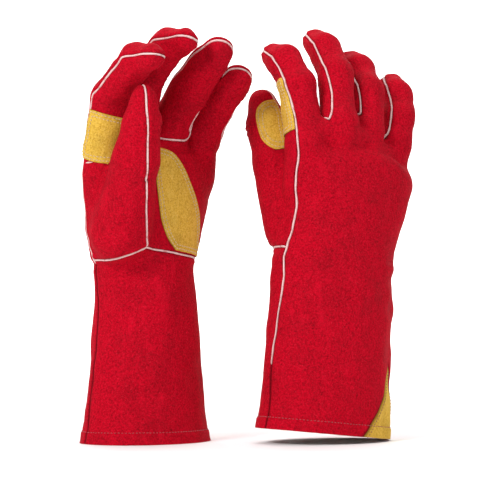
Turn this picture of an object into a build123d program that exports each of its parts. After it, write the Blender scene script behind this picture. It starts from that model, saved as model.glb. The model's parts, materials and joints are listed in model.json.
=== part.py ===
from build123d import *

import os
from math import cos, hypot, radians, sin

# A pair of leather welding gauntlets standing on their cuffs, hems on the floor (Z = 0).
# Each glove is drawn about its own upright axis: X across the hand with the thumb on the
# thumb side, +Y out of the palm, +Z towards the fingertips. Millimetres and degrees.

LEATHER = 1.6  # split leather
LINING = 1.6  # fleece and canvas lining
PATCH = 1.2  # reinforcement leather
WELT = 1.6  # width of the piping strip in a welted seam
WELT_STANDS_OUT = 0.8
SOCKET_GAP = 0.4  # between a digit's round root and the hand
HEM = 10  # height of the turned hem

# The thumb is on the +X side of the left glove and on the -X side of the right one.
THUMB_SIDE = {"left": 1, "right": -1}

# Glove sections: height, half width, half depth, shift across, shift towards the palm.
SECTIONS = {
    "left": [
        (-12, 65, 47, 0, 0),
        (35, 60, 42, 0, 0),
        (80, 55, 38, 0, 0),
        (120, 50, 35, 0, 0),
        (150, 48, 34, 0, 0),
        (175, 53, 34, -2, 1),
        (200, 58, 32, -5, 2),
        (240, 65, 27, -6, 3),
        (262, 66, 22, -6, 4),
    ],
    "right": [
        (-12, 65, 47, 0, 0),
        (35, 62, 43, 0, 0),
        (80, 60, 40, 0, 0),
        (120, 58, 38, -1, 0),
        (150, 57, 36, -2, 0),
        (175, 59, 35, -3, 1),
        (200, 62, 34, -5, 2),
        (240, 65, 27, -6, 3),
        (262, 66, 22, -6, 4),
    ],
}
HAND_TOP = 240
WEB_TOP = 256  # crotches of the middle, ring and little fingers
WEB_CENTRE = (-20, 6)
WEB_HALF_SIZE = (45, 20)
STUB_START = 225  # finger openings start inside the hand here

# Thumb mound: a cone from the heel of the hand up to the thumb's root.
MOUND_BASE = (39, 20, 178)
MOUND_RADIUS = 25
MOUND_EDGE = 0.6  # the mound's leather runs this far onto the palm

# Seams
SEAM_TURN = 7.5  # the side seams lie turned about the glove's axis, thumb side to the back
WRIST_SIDE = 154  # wrist welt at the side seams
WRIST_PEAK = (24, 165)
WRIST_HALF_WIDTH = 50
REACH = 150  # cutting blocks reach this far

# Gusset let into the little finger side of the cuff
GUSSET_FACING = 26  # degrees round from the little finger side towards the back
GUSSET_HEIGHT = 62
GUSSET_HALF_WIDTHS = (46, 24)  # at the hem: towards the back, towards the palm

# Palm reinforcement, seen square to the palm: across and up
PATCH_TOP = (12, 238)
PATCH_OUTER_MID = (-26, 214)
PATCH_HEEL_OUTER = (-42, 157)
PATCH_HEEL_INNER = (-7, 162)
PATCH_INNER = (8, 192)

FINGER_RADII = (15, 14.7, 14, 11)
LITTLE_RADII = (13.8, 13.6, 13, 10.5)
THUMB_RADII = (19, 15, 10)

# Digits: root centre, lean across, bend of each bone from upright, bone lengths, radii.
INDEX_ROOT, MIDDLE_ROOT, RING_ROOT = (43, 2, 246), (11, 0, 272), (-22, 5, 268)
LITTLE_ROOT, THUMB_ROOT = (-53.6, 12.3, 260), (47, 45, 236)
DIGITS = {
    "left": {
        "index": (INDEX_ROOT, 2, (15, 40, 75), (58, 29, 18), FINGER_RADII),
        "middle": (MIDDLE_ROOT, -3, (25, 46, 75), (46, 31, 20), FINGER_RADII),
        "ring": (RING_ROOT, -6, (28, 50, 70), (42, 31, 18), FINGER_RADII),
        "little": (LITTLE_ROOT, -8, (30, 45, 60), (29.4, 25, 16), LITTLE_RADII),
        "thumb": (THUMB_ROOT, 8, (22, 14), (33, 22), THUMB_RADII),
    },
    "right": {
        "index": (INDEX_ROOT, 2, (17, 45, 70), (60, 30, 18), FINGER_RADII),
        "middle": (MIDDLE_ROOT, -6, (22, 44, 62), (46, 31, 18), FINGER_RADII),
        "ring": (RING_ROOT, -10, (22, 42, 58), (40, 30, 16), FINGER_RADII),
        "little": (LITTLE_ROOT, -16, (16, 32, 50), (29, 24, 14), LITTLE_RADII),
        "thumb": (THUMB_ROOT, 8, (24, 17), (32, 22), THUMB_RADII),
    },
}
ROOT_OPENS = 0.6  # a digit's root is open below this share of its radius
WELT_START = 4  # a digit's piping stands out from this height over its root

# The seat that a digit's root turns in is cut square to the digit, tipped a little
# further towards the palm, because the digit bends that way.
SEAT_TIP = 4
SEAT_DEPTH = 5
SEAT_HEIGHT = 20
SEAT_ROOM = 1.4  # between the digit and the seat's cylinder, over the socket gap

# Digit reinforcements: part of the digit's split, start and end height over the root.
PATCHES = {
    "left": {"index": ("front", 5, 36), "thumb": ("back", 10, 52)},
    "right": {"index": ("front", 5, 62), "thumb": ("back", 10, 52)},
}

# Standing places: across the floor, along it, turn about the upright, lean of the glove.
PLACES = {"left": (-81.6, 0, 218, 0), "right": (70.6, 0, 35, 6)}
PAIR_CENTRE = (5.15, 6.16)  # centre of the standing pair, as placed below


def floor_plane(side, height):
    """Plane parallel to the floor that the leaning glove stands on."""
    lean = radians(PLACES[side][3])
    up = Vector(-sin(lean), 0, cos(lean))
    return Plane(origin=up * height, z_dir=up)


def glove_volume(side, inset):
    """Hand and cuff as one solid, its skin moved in by inset."""
    hand = THUMB_SIDE[side]
    web_x, web_y = WEB_CENTRE
    with BuildPart() as volume:
        for height, half_width, half_depth, across, forward in SECTIONS[side]:
            with BuildSketch(Plane((hand * across, forward, height))):
                Ellipse(half_width - inset, half_depth - inset)
        loft(ruled=True)
        split(bisect_by=Plane.XY.offset(HAND_TOP - inset), keep=Keep.BOTTOM)
        with BuildSketch(Plane((hand * web_x, web_y, STUB_START))):
            Ellipse(WEB_HALF_SIZE[0] - inset, WEB_HALF_SIZE[1] - inset)
        extrude(amount=WEB_TOP - inset - STUB_START)
        for name, (root, *_, radii) in DIGITS[side].items():
            if name != "thumb":
                with BuildSketch(Plane((hand * root[0], root[1], STUB_START))):
                    Circle(radii[0] - inset)
                extrude(amount=root[2] - STUB_START)
        add(thumb_mound_volume(side, inset))
    return volume.part


def mirrored(side, point):
    return Vector(THUMB_SIDE[side] * point[0], point[1], point[2])


def thumb_mound_volume(side, inset):
    base, root = mirrored(side, MOUND_BASE), mirrored(side, THUMB_ROOT)
    axis = root - base
    with BuildPart() as mound:
        with Locations(base):
            Sphere(MOUND_RADIUS - inset)
        with Locations(Plane(origin=base + axis / 2, z_dir=axis)):
            Cone(MOUND_RADIUS - inset, THUMB_RADII[0] - inset, axis.length)
    return mound.part


def seats(side, gap):
    """What the digits' roots need clear of the hand: a ball and the room above it."""
    with BuildPart() as clear:
        for root, lean, bends, _, radii in DIGITS[side].values():
            centre = mirrored(side, root)
            bend, across = radians(bends[0] + SEAT_TIP), radians(THUMB_SIDE[side] * lean)
            axis = Vector(cos(bend) * sin(across), sin(bend), cos(bend) * cos(across))
            with Locations(centre):
                Sphere(radii[0] + gap)
            with BuildSketch(Plane(origin=centre - axis * SEAT_DEPTH, z_dir=axis)):
                Circle(radii[0] + gap + SEAT_ROOM)
            extrude(amount=SEAT_HEIGHT)
    return clear.part


def seam_plane(side, height):
    turn = radians(SEAM_TURN)
    across = Vector(cos(turn), -THUMB_SIDE[side] * sin(turn), 0)
    return Plane(origin=(0, 0, height), x_dir=across, z_dir=(0, 0, 1))


def half_space(side, facing):
    """Back (-1) or palm (+1) side of the side seams, clear of the welt above the wrist."""
    with BuildPart() as half:
        for gap, bottom, top in ((0, -20, WRIST_SIDE), (WELT / 2, WRIST_SIDE, 2 * REACH)):
            with BuildSketch(seam_plane(side, bottom)):
                with Locations((0, facing * (gap + REACH / 2))):
                    Rectangle(2 * REACH, REACH)
            extrude(amount=top - bottom)
    return half.part


def wrist_block(side, low, high):
    """Block across the palm side between two copies of the peaked wrist line."""
    hand = THUMB_SIDE[side]
    peak_x, peak_z = WRIST_PEAK
    line = [
        (-REACH, WRIST_SIDE),
        (-WRIST_HALF_WIDTH, WRIST_SIDE),
        (hand * peak_x, peak_z),
        (WRIST_HALF_WIDTH, WRIST_SIDE),
        (REACH, WRIST_SIDE),
    ]
    lower = [(x, max(z + low, -20)) for x, z in line]
    upper = [(x, min(z + high, 2 * REACH)) for x, z in line]
    with BuildPart() as block:
        with BuildSketch(Plane.XZ):
            with BuildLine():
                Polyline(*lower, *reversed(upper), close=True)
            make_face()
        extrude(amount=REACH, both=True)
    return block.part


def gusset_block(side):
    hand = THUMB_SIDE[side]
    facing = radians(GUSSET_FACING)
    out = Vector(-hand * cos(facing), -sin(facing), 0)
    back, palm = GUSSET_HALF_WIDTHS
    below = -HEM
    spread = (GUSSET_HEIGHT - below) / GUSSET_HEIGHT
    with BuildPart() as block:
        with BuildSketch(Plane(origin=(0, 0, 0), x_dir=(-out.Y, out.X, 0), z_dir=out)):
            with BuildLine():
                Polyline(
                    (hand * back * spread, below),
                    (0, GUSSET_HEIGHT),
                    (-hand * palm * spread, below),
                    close=True,
                )
            make_face()
        extrude(amount=REACH)
    return block.part


def palm_patch_block(side):
    hand = THUMB_SIDE[side]

    def at(point):
        return (hand * point[0], point[1])

    with BuildPart() as block:
        with BuildSketch(Plane.XZ):
            with BuildLine():
                ThreePointArc(at(PATCH_TOP), at(PATCH_OUTER_MID), at(PATCH_HEEL_OUTER))
                Polyline(
                    at(PATCH_HEEL_OUTER), at(PATCH_HEEL_INNER), at(PATCH_INNER), at(PATCH_TOP)
                )
            make_face()
        extrude(amount=-REACH)
    return block.part


def cut_piece(solid, within=(), without=()):
    """The part of a solid inside every block of one list and outside those of another."""
    with BuildPart() as piece:
        add(solid)
        for block in within:
            add(block, mode=Mode.INTERSECT)
        for block in without:
            add(block, mode=Mode.SUBTRACT)
    return piece.part


def glove_body_pieces(side):
    """Leather panels, welts, patch and lining of the hand and cuff."""
    skin = glove_volume(side, 0)
    under_leather = glove_volume(side, LEATHER)
    cavity = glove_volume(side, LEATHER + LINING)
    sockets = seats(side, SOCKET_GAP)
    with BuildPart() as above_hem:
        add(under_leather)
        split(bisect_by=floor_plane(side, HEM), keep=Keep.TOP)
    with BuildPart() as leather:
        add(skin)
        split(bisect_by=floor_plane(side, 0), keep=Keep.TOP)
        add([cavity, above_hem.part, sockets], mode=Mode.SUBTRACT)
    shell = leather.part

    mound = thumb_mound_volume(side, -MOUND_EDGE)
    palm_half, back_half = half_space(side, 1), half_space(side, -1)
    above_wrist = wrist_block(side, WELT / 2, REACH)
    below_wrist = wrist_block(side, -2 * REACH, -WELT / 2)
    wrist_strip = wrist_block(side, -WELT / 2, WELT / 2)
    gusset = gusset_block(side)

    with BuildPart() as side_strip:
        with BuildSketch(seam_plane(side, WRIST_SIDE)):
            Rectangle(2 * REACH, WELT)
        extrude(amount=REACH)
    with BuildPart() as seam_strips:
        add(wrist_strip)
        add(palm_half, mode=Mode.INTERSECT)
        add(side_strip.part)
    welt_seats = seats(side, 2 * WELT_STANDS_OUT + SOCKET_GAP)
    standing = cut_piece(
        glove_volume(side, -WELT_STANDS_OUT), without=[under_leather, welt_seats]
    )
    raised = cut_piece(glove_volume(side, -PATCH), without=[skin])
    lining = cut_piece(above_hem.part, without=[cavity, sockets])
    return {
        "back_panel": cut_piece(shell, within=[back_half], without=[gusset]),
        "palm_panel": cut_piece(shell, within=[palm_half, above_wrist], without=[mound]),
        "thumb_mound": cut_piece(shell, within=[palm_half, above_wrist, mound]),
        "cuff_panel": cut_piece(shell, within=[palm_half, below_wrist], without=[gusset]),
        "cuff_gusset": cut_piece(shell, within=[gusset]),
        "palm_patch": cut_piece(raised, within=[palm_patch_block(side)], without=[mound]),
        "hand_welts": cut_piece(standing, within=[seam_strips.part]),
        "lining": lining,
    }


def centreline(digit):
    """Joint centres of a digit in its own frame, as (towards the palm, up)."""
    _, _, bends, lengths, _ = digit
    points = [(0, 0)]
    for bend, length in zip(bends, lengths):
        y, z = points[-1]
        points.append((y + length * sin(radians(bend)), z + length * cos(radians(bend))))
    return points


def digit_volume(digit, inset):
    """Round-tipped digit: a ball at each joint and a cone along each bone."""
    radii = [radius - inset for radius in digit[4]]
    joints = [Vector(0, y, z) for y, z in centreline(digit)]
    with BuildPart() as volume:
        for joint, radius in zip(joints, radii):
            with Locations(joint):
                Sphere(radius)
        for low, high, wide, narrow in zip(joints, joints[1:], radii, radii[1:]):
            bone = high - low
            with Locations(Plane(origin=low + bone / 2, z_dir=bone)):
                Cone(wide, narrow, bone.length)
    return volume.part


def root_plane(digit, height):
    bend = radians(digit[2][0])
    axis = Vector(0, sin(bend), cos(bend))
    return Plane(origin=axis * height, z_dir=axis)


def seam_line(digit, shift):
    """Centreline run on past both ends and moved sideways, towards the back if positive."""
    root, tip = radians(digit[2][0]), radians(digit[2][-1])
    inner = centreline(digit)
    end_y, end_z = inner[-1]
    start = (-REACH / 4 * sin(root), -REACH / 4 * cos(root))
    end = (end_y + REACH / 4 * sin(tip), end_z + REACH / 4 * cos(tip))
    line = [start, *inner[1:-1], end]
    normals = []
    for (y0, z0), (y1, z1) in zip(line, line[1:]):
        run = hypot(y1 - y0, z1 - z0)
        normals.append(((z0 - z1) / run, (y1 - y0) / run))
    moved = []
    for (y, z), (ay, az), (by, bz) in zip(line, normals[:1] + normals, normals + normals[-1:]):
        scale = shift / (1 + ay * by + az * bz)
        moved.append((y + scale * (ay + by), z + scale * (az + bz)))
    return moved


def digit_block(outline):
    """Block across the digit over an outline drawn from its side."""
    with BuildPart() as block:
        with BuildSketch(Plane.YZ):
            with BuildLine():
                Polyline(*outline, close=True)
            make_face()
        extrude(amount=REACH / 2, both=True)
    return block.part


def digit_split(digit):
    """Blocks for the back half, the front half and the welt strip between them."""
    back_line, front_line = seam_line(digit, WELT / 2), seam_line(digit, -WELT / 2)
    (back_y, back_z), (front_y, front_z) = back_line[-1], front_line[-1]
    low = back_line[0][1]
    return {
        "back": digit_block([*back_line, (back_y, REACH), (-REACH, REACH), (-REACH, low)]),
        "front": digit_block([*front_line, (front_y, low - 1), (front_line[0][0], low - 1)]),
        "welt": digit_block([*back_line, *reversed(front_line)]),
    }


def open_root(digit, solid, height=None):
    """Cut a digit off square above its hollow root."""
    if height is None:
        height = -ROOT_OPENS * digit[4][0]
    with BuildPart() as opened:
        add(solid)
        split(bisect_by=root_plane(digit, height), keep=Keep.TOP)
    return opened.part


def digit_pieces(side, name):
    digit = DIGITS[side][name]
    skin = digit_volume(digit, 0)
    under_leather = digit_volume(digit, LEATHER)
    cavity = digit_volume(digit, LEATHER + LINING)
    halves = digit_split(digit)
    leather = open_root(digit, cut_piece(skin, without=[under_leather]))
    with BuildPart() as piping:
        add(open_root(digit, digit_volume(digit, -WELT_STANDS_OUT), WELT_START))
        add(open_root(digit, skin))
    pieces = {
        "back": cut_piece(leather, within=[halves["back"]]),
        "front": cut_piece(leather, within=[halves["front"]]),
        "welt": cut_piece(piping.part, within=[halves["welt"]], without=[under_leather]),
        "lining": open_root(digit, cut_piece(under_leather, without=[cavity])),
    }
    if name in PATCHES[side]:
        half, start, end = PATCHES[side][name]
        with BuildPart() as patch:
            add(digit_volume(digit, -PATCH))
            split(bisect_by=root_plane(digit, start), keep=Keep.TOP)
            split(bisect_by=root_plane(digit, end), keep=Keep.BOTTOM)
        pieces["patch"] = cut_piece(patch.part, within=[halves[half]], without=[skin])
    root, across = digit[0], digit[1]
    place = Location(mirrored(side, root), (0, THUMB_SIDE[side] * across, 0))
    return {f"{name}_{label}": piece.moved(place) for label, piece in pieces.items()}


os.makedirs("parts", exist_ok=True)
for side, (across, along, turn, lean) in PLACES.items():
    stand = Pos(across - PAIR_CENTRE[0], along - PAIR_CENTRE[1], 0) * Rot(0, 0, turn)
    glove = glove_body_pieces(side)
    for name in DIGITS[side]:
        glove.update(digit_pieces(side, name))
    for name, shape in glove.items():
        with BuildPart() as piece:
            add(stand * Rot(0, lean, 0) * shape)
        piece.part.label = f"{side}_{name}"
        export_step(piece.part, f"parts/{side}_{name}.step")
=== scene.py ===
import json
import math

import bmesh
import bpy
import numpy as np
from mathutils import Matrix, Vector


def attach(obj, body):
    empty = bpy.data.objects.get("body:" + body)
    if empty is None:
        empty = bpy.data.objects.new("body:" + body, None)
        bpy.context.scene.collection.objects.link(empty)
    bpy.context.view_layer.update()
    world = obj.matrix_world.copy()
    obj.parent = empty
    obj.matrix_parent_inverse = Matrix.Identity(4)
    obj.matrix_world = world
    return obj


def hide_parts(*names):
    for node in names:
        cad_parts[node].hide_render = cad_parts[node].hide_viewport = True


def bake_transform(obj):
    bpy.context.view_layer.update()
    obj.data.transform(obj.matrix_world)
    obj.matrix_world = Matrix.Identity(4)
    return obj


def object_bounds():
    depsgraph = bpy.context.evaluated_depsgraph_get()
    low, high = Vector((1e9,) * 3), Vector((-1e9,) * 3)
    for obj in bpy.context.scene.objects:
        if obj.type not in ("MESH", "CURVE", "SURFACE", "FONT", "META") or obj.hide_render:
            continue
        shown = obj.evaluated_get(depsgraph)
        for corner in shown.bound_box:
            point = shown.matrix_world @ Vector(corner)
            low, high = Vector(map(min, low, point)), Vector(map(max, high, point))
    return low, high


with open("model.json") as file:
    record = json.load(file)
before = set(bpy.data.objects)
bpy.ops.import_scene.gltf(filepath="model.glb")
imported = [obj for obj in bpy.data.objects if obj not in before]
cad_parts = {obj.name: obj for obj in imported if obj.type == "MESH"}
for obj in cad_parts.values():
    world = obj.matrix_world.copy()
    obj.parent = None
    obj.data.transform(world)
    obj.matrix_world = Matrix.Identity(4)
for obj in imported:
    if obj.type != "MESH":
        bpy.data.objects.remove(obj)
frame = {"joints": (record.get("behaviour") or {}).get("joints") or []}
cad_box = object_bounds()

# A pair of leather welding gauntlets. Each glove's skin is the zero level of a distance
# function drawn about the glove's own upright axis: X across the hand towards the thumb,
# Y out of the palm, Z towards the fingertips, in millimetres. It is cut along its seams
# into panels; those of the hand ride on the hand's body, those of the digits are left in place.

MM = 0.001
STEP = 2.4  # grid of the skin before it is subdivided
WELT_WIDTH = 1.7
LINE_JUMP = 8  # a field that changes more than this over a face has a break, not a seam
WELT_RISE = 0.45
WELT_ROUNDS = 14  # smoothing of a welt's line
PATCH_THICK = 1.1
THUMB_SIDE = {"left": 1, "right": -1}
DIGITS = ("index", "middle", "ring", "little", "thumb")

# Height, half width, half depth, shift across, shift towards the palm
SECTIONS = {
    "left": np.array([
        (-20, 63, 47, -1, 0), (0, 61, 45, -1, 0), (14, 57, 42, -1.5, 0), (35, 54.5, 40, -2, 0),
        (80, 50, 38, -2, 0), (120, 46, 35, -2, 0), (150, 46.5, 34, -0.5, 0),
        (175, 55, 34, 1.5, 1), (200, 60, 33, -1, 2), (240, 66, 28, -3, 3),
        (270, 66, 24, -5, 5)], float),
    "right": np.array([
        (-20, 65, 47, 0, 0), (0, 64, 45, 0, 0), (14, 62, 43, 0, 0), (35, 60.5, 42, 0.5, 0),
        (80, 60, 40, 1.5, 0), (120, 59, 38, 4, 0), (150, 56.5, 36, 6, 0), (175, 56.5, 35, 0, 1),
        (200, 60, 34, -4, 2), (240, 67, 28, -9, 3), (270, 67, 24, -10, 5)], float),
}
HAND_TOP = 252
FINGER_RADII = (15.6, 15.4, 14.4, 11.2)
# Root centre, lean across, bend of each bone from upright, bone lengths, radii, and the
# start and end of a stretch up the first bone; the digit's own panel starts at its start.
ROOTS = {"index": (43, 2, 246), "middle": (11, 0, 272), "ring": (-22, 5, 268),
         "little": (-53.6, 12.3, 260), "thumb": (47, 45, 236)}
SHAPES = {
    "left": {
        "index": (2, (16, 52, 84), (47, 47, 20), FINGER_RADII, (20, 46)),
        "middle": (-3, (25, 52, 82), (45, 34, 23), FINGER_RADII, (-4, 20)),
        "ring": (-9, (38, 42, 54), (38, 29, 18), (16.6, 16.4, 15, 11.8), (-4, 20)),
        "little": (-6.5, (31, 44, 58), (29, 24, 11.5), (15, 15, 13.6, 11), (0, 20)),
        "thumb": (5, (22, 14), (33, 22), (19.5, 16.6, 11.4), (-4, 18)),
    },
    "right": {
        "index": (2, (17, 45, 70), (57, 29, 18), FINGER_RADII, (20, 46)),
        "middle": (-6, (22, 44, 62), (46, 31, 18), FINGER_RADII, (-4, 20)),
        "ring": (-11, (22, 42, 58), (38, 29, 16), FINGER_RADII, (-4, 20)),
        "little": (-17, (14, 30, 50), (29, 24, 14), (15.4, 15, 13.8, 11), (0, 20)),
        "thumb": (6, (24, 17), (32, 21), (20.3, 17.8, 12), (-4, 18)),
    },
}
MOUND_BASE = (39, 20, 178)
MOUND_RADIUS = {"left": 26, "right": 21.5}
WEBS = {"left": (268, 268, 262), "right": (273, 271, 262)}  # crotches between the fingers
WEB_RADIUS = 13
# How far a finger's side seams are turned about it, towards the back on the thumb side.
FINGER_SEAM = {"left": (26, 34, 52, 52), "right": (32, 32, 32, 32)}
WRIST_SIDE = {"left": 154, "right": 160}
WRIST_PEAK, WRIST_PEAK_X, WRIST_HALF = 165, 25, 50
# Seam up the thumb mound: height, place across; it runs on into the thumb's front seam.
MOUND_SEAM = np.array([(150, 24.5), (165, 25), (180, 30.5), (200, 36), (220, 41), (240, 43)])
THUMB_SEAM = (86, 66)  # degrees round from the thumb side to the palm, at the root and tip
SEAM_TURN = math.tan(math.radians(7.5))
GUSSET_FACING = math.radians(26)
GUSSET_HEIGHT, GUSSET_BACK, GUSSET_PALM = 63, 35, 25
HEM = 10
HEM_LEVEL = {"left": 0, "right": 6.8}  # the right hem is square to the leaning glove


# ---------------------------------------------------------------- noise

def lattice_noise(points, size, seed):
    """Smooth noise from -1 to 1 with lumps of about the given size."""
    p = points / size
    cell = np.floor(p).astype(np.int64)
    part = p - cell
    fade = part * part * (3 - 2 * part)
    total = np.zeros(len(points))
    for corner in range(8):
        offset = np.array([corner & 1, corner >> 1 & 1, corner >> 2 & 1])
        key = cell + offset
        mixed = (key[:, 0] * 73856093) ^ (key[:, 1] * 19349663) ^ (key[:, 2] * 83492791)
        mixed = (mixed ^ (seed * 2654435761)) & 0x7FFFFFFF
        mixed = (mixed * 1103515245 + 12345) & 0x7FFFFFFF
        mixed = (mixed ^ (mixed >> 13)) * 1274126177 & 0x7FFFFFFF
        value = mixed / 0x3FFFFFFF - 1
        weight = np.prod(np.where(offset, fade, 1 - fade), axis=1)
        total += value * weight
    return total


def bump(distance, width):
    return np.exp(-((distance / width) ** 2))


def smoothstep(value, low, high):
    t = np.clip((value - low) / (high - low), 0, 1)
    return t * t * (3 - 2 * t)


# ---------------------------------------------------------------- distance functions

def smooth_min(a, b, reach):
    h = np.clip(0.5 + 0.5 * (b - a) / reach, 0, 1)
    return b * (1 - h) + a * h - reach * h * (1 - h)


def round_cone(p, a, b, r1, r2):
    """Distance to two balls joined by their cone."""
    a, b = np.asarray(a, float), np.asarray(b, float)
    ba = b - a
    l2 = ba @ ba
    rr = r1 - r2
    a2 = l2 - rr * rr
    pa = p - a
    y = pa @ ba
    z = y - l2
    x = pa * l2 - np.outer(y, ba)
    x2 = np.einsum("ij,ij->i", x, x)
    y2, z2 = y * y * l2, z * z * l2
    k = np.sign(rr) * rr * rr * x2
    top = np.sqrt(x2 + z2) / l2 - r2
    low = np.sqrt(x2 + y2) / l2 - r1
    side = (np.sqrt(x2 * a2 / l2) + y * rr) / l2 - r1
    return np.where(np.sign(z) * a2 * z2 > k, top, np.where(np.sign(y) * a2 * y2 < k, low, side))


class Digit:
    def __init__(self, name, lean, bends, lengths, radii, blend):
        self.name, self.radii, self.blend = name, radii, blend
        self.root = np.array(ROOTS[name], float)
        c, s = math.cos(math.radians(lean)), math.sin(math.radians(lean))
        self.turn = np.array([[c, 0, s], [0, 1, 0], [-s, 0, c]])
        flat = [np.zeros(3)]
        for bend, length in zip(bends, lengths):
            b = math.radians(bend)
            flat.append(flat[-1] + length * np.array([0, math.sin(b), math.cos(b)]))
        self.flat = np.array(flat)
        self.joints = self.root + self.flat @ self.turn.T
        self.first = (self.joints[1] - self.joints[0]) / lengths[0]
        self.lengths = lengths

    def shift(self, move):
        self.root = self.root + move
        self.joints = self.joints + move

    def axis_at(self, height):
        return self.root + self.first * (height - self.root[2]) / self.first[2]

    def distance(self, p):
        d = None
        for a, b, r1, r2 in zip(self.joints, self.joints[1:], self.radii, self.radii[1:]):
            bone = round_cone(p, a, b, r1, r2)
            d = bone if d is None else smooth_min(d, bone, 4)
        return d

    def along(self, p):
        return (p - self.root) @ self.first

    def side(self, p):
        """Distance from the sheet through the bones, positive towards the palm."""
        q = (p - self.root) @ self.turn
        yz = q[:, 1:]
        line = self.flat[:, 1:]
        last = line[-1] + (line[-1] - line[-2])
        points = [*line[:-1], last]
        best = np.full(len(p), 1e9)
        value = np.zeros(len(p))
        for i, (a, b) in enumerate(zip(points, points[1:])):
            run = b - a
            length = math.hypot(*run)
            run = run / length
            rel = yz - a
            t = rel @ run
            held = np.clip(t, -60 if i == 0 else 0, length)
            away = rel - np.outer(held, run)
            dist = np.hypot(away[:, 0], away[:, 1])
            sign = np.sign(rel[:, 0] * run[1] - rel[:, 1] * run[0])
            nearer = dist < best
            best = np.where(nearer, dist, best)
            value = np.where(nearer, sign * dist, value)
        return value

    def bone_place(self, p):
        """Distance along the bones from the root, over the bent middle line."""
        q = (p - self.root) @ self.turn
        best, place, run_up = np.full(len(p), 1e9), np.zeros(len(p)), 0
        for i, length in enumerate(self.lengths):
            a, b = self.flat[i], self.flat[i + 1]
            run = (b - a) / length
            rel = q - a
            t = rel @ run
            held = np.clip(t, -60 if i == 0 else 0, length)
            dist = np.linalg.norm(rel - np.outer(held, run), axis=1)
            place = np.where(dist < best, held + run_up, place)
            best = np.minimum(best, dist)
            run_up += length
        return place


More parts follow.
